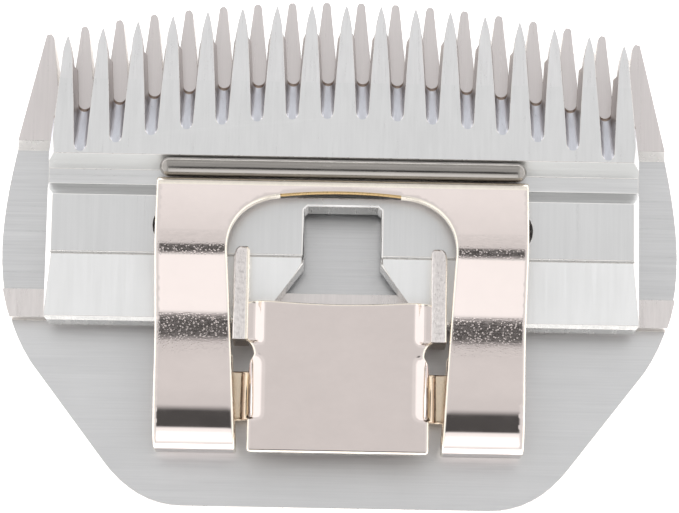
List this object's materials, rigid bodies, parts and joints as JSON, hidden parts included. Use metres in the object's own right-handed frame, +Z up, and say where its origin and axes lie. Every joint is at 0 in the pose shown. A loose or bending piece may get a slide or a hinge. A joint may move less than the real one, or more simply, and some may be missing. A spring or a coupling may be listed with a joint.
{
  "type": "detachable clipper blade set",
  "caption": "Animal-shearing clipper blade set: comb, sliding cutter, U-shaped tension spring and a raised socket for the clipper's hinge tongue.",
  "frame": {"origin": "centre of the bounding box's base, on the comb's flat underside", "axes": "+X along the row of teeth, +Y towards the tooth tips, +Z up from the underside towards the spring and socket"},
  "size_m": [0.0498, 0.0376, 0.0088],
  "materials": {
    "comb_steel": "surface-ground, fine lines along the row of teeth",
    "cutter_steel": "surface-ground, fine lines from rear to teeth",
    "guide_steel": "polished",
    "spring_nickel": "bright nickel plate",
    "socket_nickel": "bright nickel plate",
    "screw_steel": "satin"
  },
  "bodies": {
    "comb_set": {"comb": "comb_steel", "tension_spring": "spring_nickel", "socket": "socket_nickel", "blade_guide": "guide_steel", "screw_left": "screw_steel", "screw_right": "screw_steel"},
    "cutter": {"cutter": "cutter_steel"}
  },
  "joints": [
    {"name": "cutter_slide", "type": "slide", "parent": "comb_set", "child": "cutter", "axis": [1, 0, 0], "range_m": [-0.00148, 0.00108]}
  ]
}
